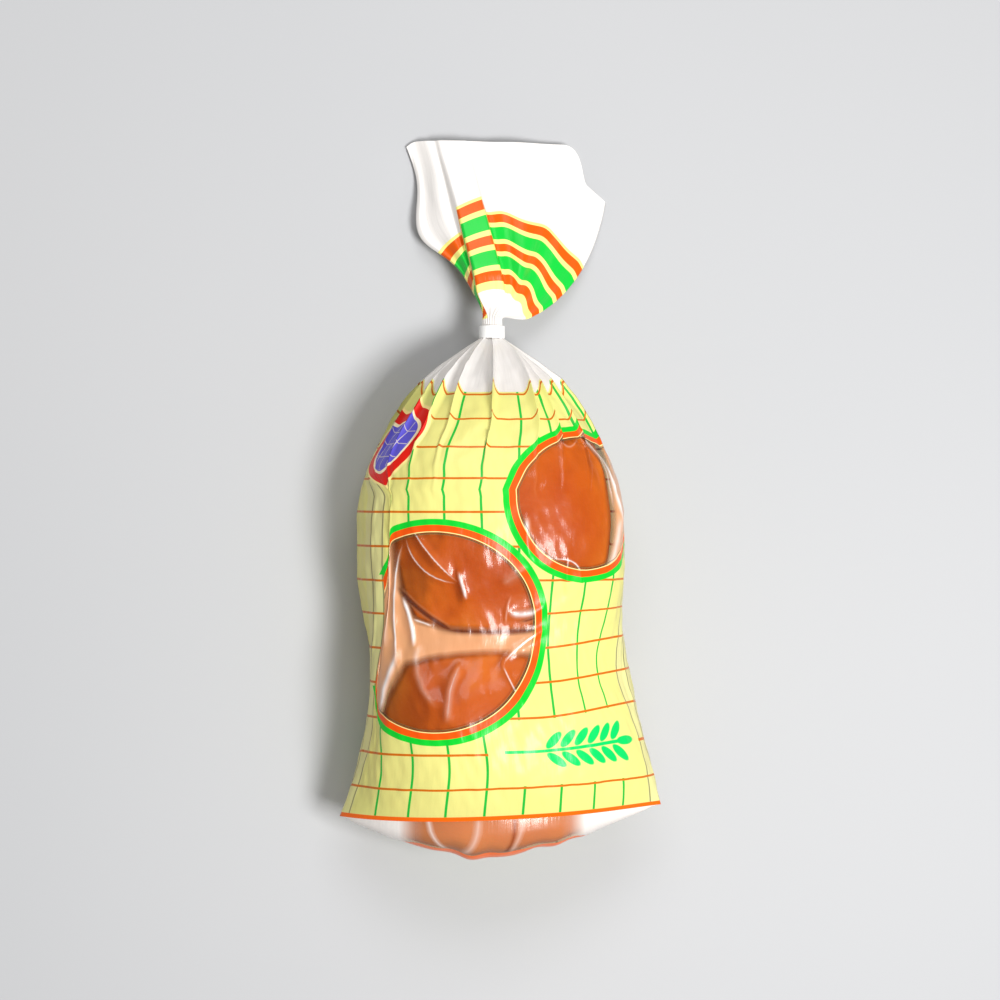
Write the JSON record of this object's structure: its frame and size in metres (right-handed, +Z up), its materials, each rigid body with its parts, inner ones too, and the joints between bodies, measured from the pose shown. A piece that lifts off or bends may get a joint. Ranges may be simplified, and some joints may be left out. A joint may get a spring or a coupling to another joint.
{
  "type": "bagged hamburger buns",
  "caption": "Soft printed film bag full of round buns, with a pleated cone, a banded neck and a fanned tail, lying on its back.",
  "frame": {"origin": "on the surface that the pack lies on, under the middle of the pack's box", "axes": "+Y from the gusset to the mouth of the bag, +X across the pack, +Z up through the printed front"},
  "size_m": [0.1532, 0.3462, 0.0799],
  "materials": {
    "film": "thin glossy polythene film, clear with a printed check of green and orange lines on pale yellow",
    "band": "plain white tape, satin",
    "crust": "baked golden-brown bun crust with a soft sheen"
  },
  "bodies": {
    "root": {"bag": "film", "neck_band": "band"}
  },
  "joints": []
}
